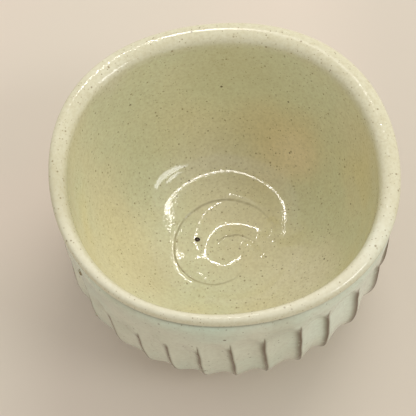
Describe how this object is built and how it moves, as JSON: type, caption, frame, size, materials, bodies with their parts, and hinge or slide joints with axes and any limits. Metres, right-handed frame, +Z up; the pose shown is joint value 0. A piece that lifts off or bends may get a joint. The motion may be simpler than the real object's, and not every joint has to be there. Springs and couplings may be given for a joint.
{
  "type": "yarn bowl",
  "caption": "Hand-thrown glazed stoneware bowl for a ball of yarn, with a rolled lip, leaning carved flutes round the outside, a spiral throwing ridge on the floor and a bare turned foot.",
  "frame": {"origin": "centre of the foot ring's underside, on the bowl's axis", "axes": "+Z up along the bowl's axis, -Y to the front"},
  "size_m": [0.1289, 0.1297, 0.078],
  "materials": {
    "clay": "matte",
    "lining_glaze": "gloss",
    "outside_glaze": "satin",
    "iron": "gloss"
  },
  "bodies": {
    "root": {"clay_body": "clay", "glaze_lining": "lining_glaze", "glaze_outside": "outside_glaze", "iron_spot": "iron"}
  },
  "joints": []
}
